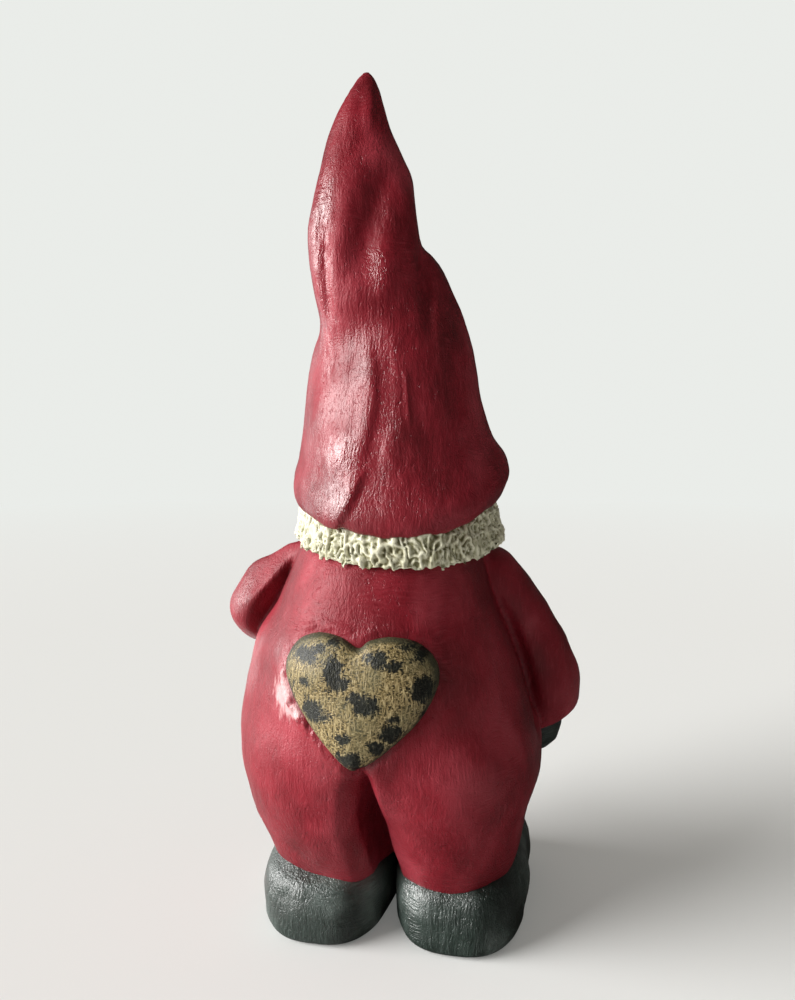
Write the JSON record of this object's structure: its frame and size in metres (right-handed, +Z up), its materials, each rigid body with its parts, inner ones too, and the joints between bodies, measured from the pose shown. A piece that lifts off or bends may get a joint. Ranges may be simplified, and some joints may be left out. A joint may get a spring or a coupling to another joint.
{
  "type": "garden gnome",
  "caption": "Standing garden gnome of painted ceramic in a tall crumpled pointed hat, with a bent arm, a hanging arm and a spotted heart in relief on the seat.",
  "frame": {"origin": "bottom centre of the whole figure's box, on the ground", "axes": "+Z up, -Y the way the face looks, +X the figure's left"},
  "size_m": [0.2182, 0.1858, 0.5],
  "materials": {
    "hat_red": "crimson paint under satin varnish, brushed",
    "suit_red": "crimson paint under satin varnish, brushed",
    "boot_green": "green-black paint under satin varnish",
    "hair_cream": "cream paint over rough clay with a brown wash",
    "heart_gold": "old gold paint with green-black spots, fine scored lines",
    "skin": "flesh paint under satin varnish",
    "eye_glaze": "gloss",
    "bare_clay": "unpainted fired clay",
    "mortar": "matt"
  },
  "bodies": {
    "root": {"hat": "hat_red", "body_shell": "suit_red", "left_sleeve": "suit_red", "right_sleeve": "suit_red", "left_boot": "boot_green", "right_boot": "boot_green", "left_mitten": "boot_green", "right_mitten": "boot_green", "nape_hair": "hair_cream", "beard": "hair_cream", "left_moustache": "hair_cream", "right_moustache": "hair_cream", "heart_patch": "heart_gold", "head": "skin", "nose": "skin", "left_eye": "eye_glaze", "right_eye": "eye_glaze", "neck_spigot": "bare_clay", "hat_bedding": "mortar"}
  },
  "joints": []
}
